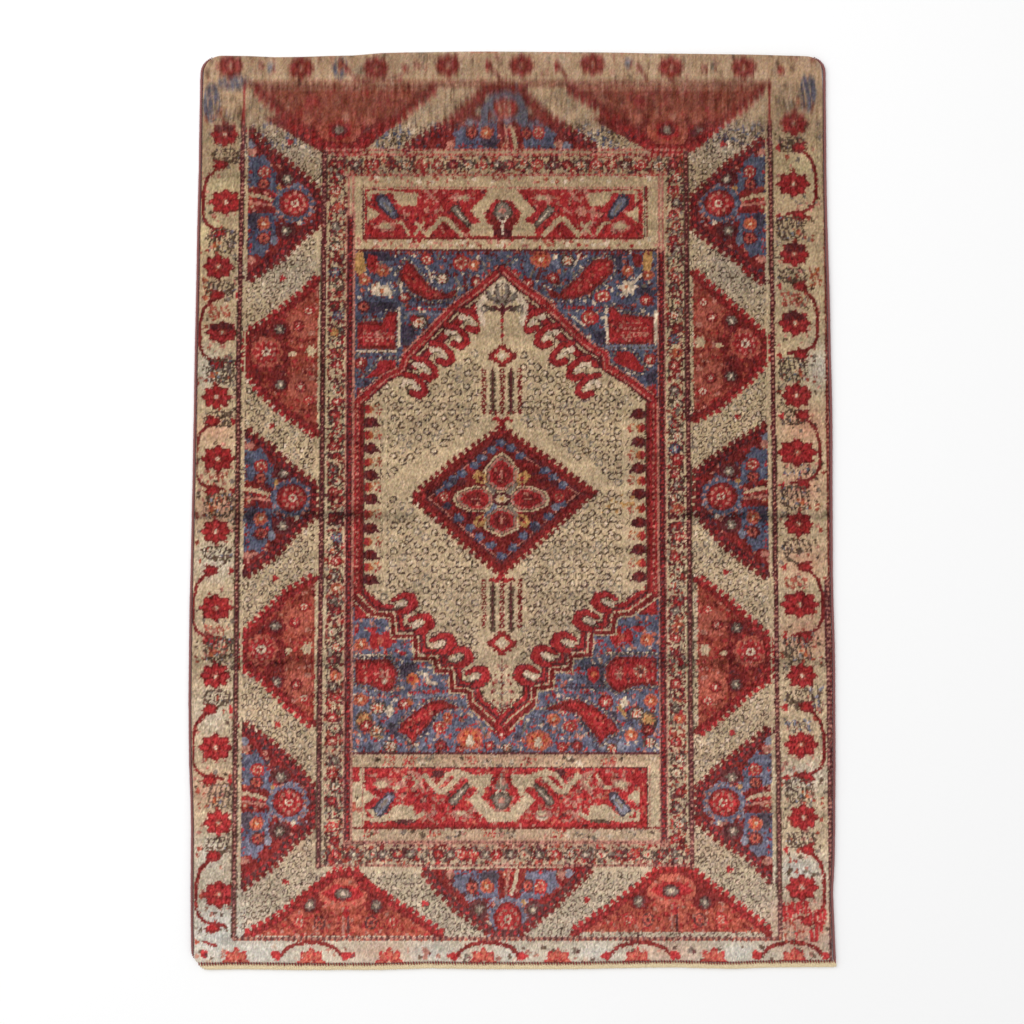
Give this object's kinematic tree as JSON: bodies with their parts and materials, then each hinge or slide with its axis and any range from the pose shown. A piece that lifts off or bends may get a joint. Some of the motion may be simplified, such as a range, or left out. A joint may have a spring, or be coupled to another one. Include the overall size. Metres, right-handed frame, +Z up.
{
  "type": "oushak rug",
  "caption": "Hand-knotted wool floor rug lying flat, with wrapped side edges, a bound bottom end and worn, rounded corners.",
  "frame": {"origin": "on the floor, under the middle of the rug", "axes": "+X to the rug's right side, +Y to its top end, +Z up out of the pile"},
  "size_m": [1.2384, 1.7714, 0.0085],
  "materials": {
    "pile_wool": "worn knotted wool pile, madder red, tan and slate blue",
    "selvedge_wool": "wool overcast, dark maroon",
    "binding_yarn": "undyed cream yarn, ribbed"
  },
  "bodies": {
    "root": {"rug_body": "pile_wool", "selvedge_left": "selvedge_wool", "selvedge_right": "selvedge_wool", "end_binding": "binding_yarn"}
  },
  "joints": []
}
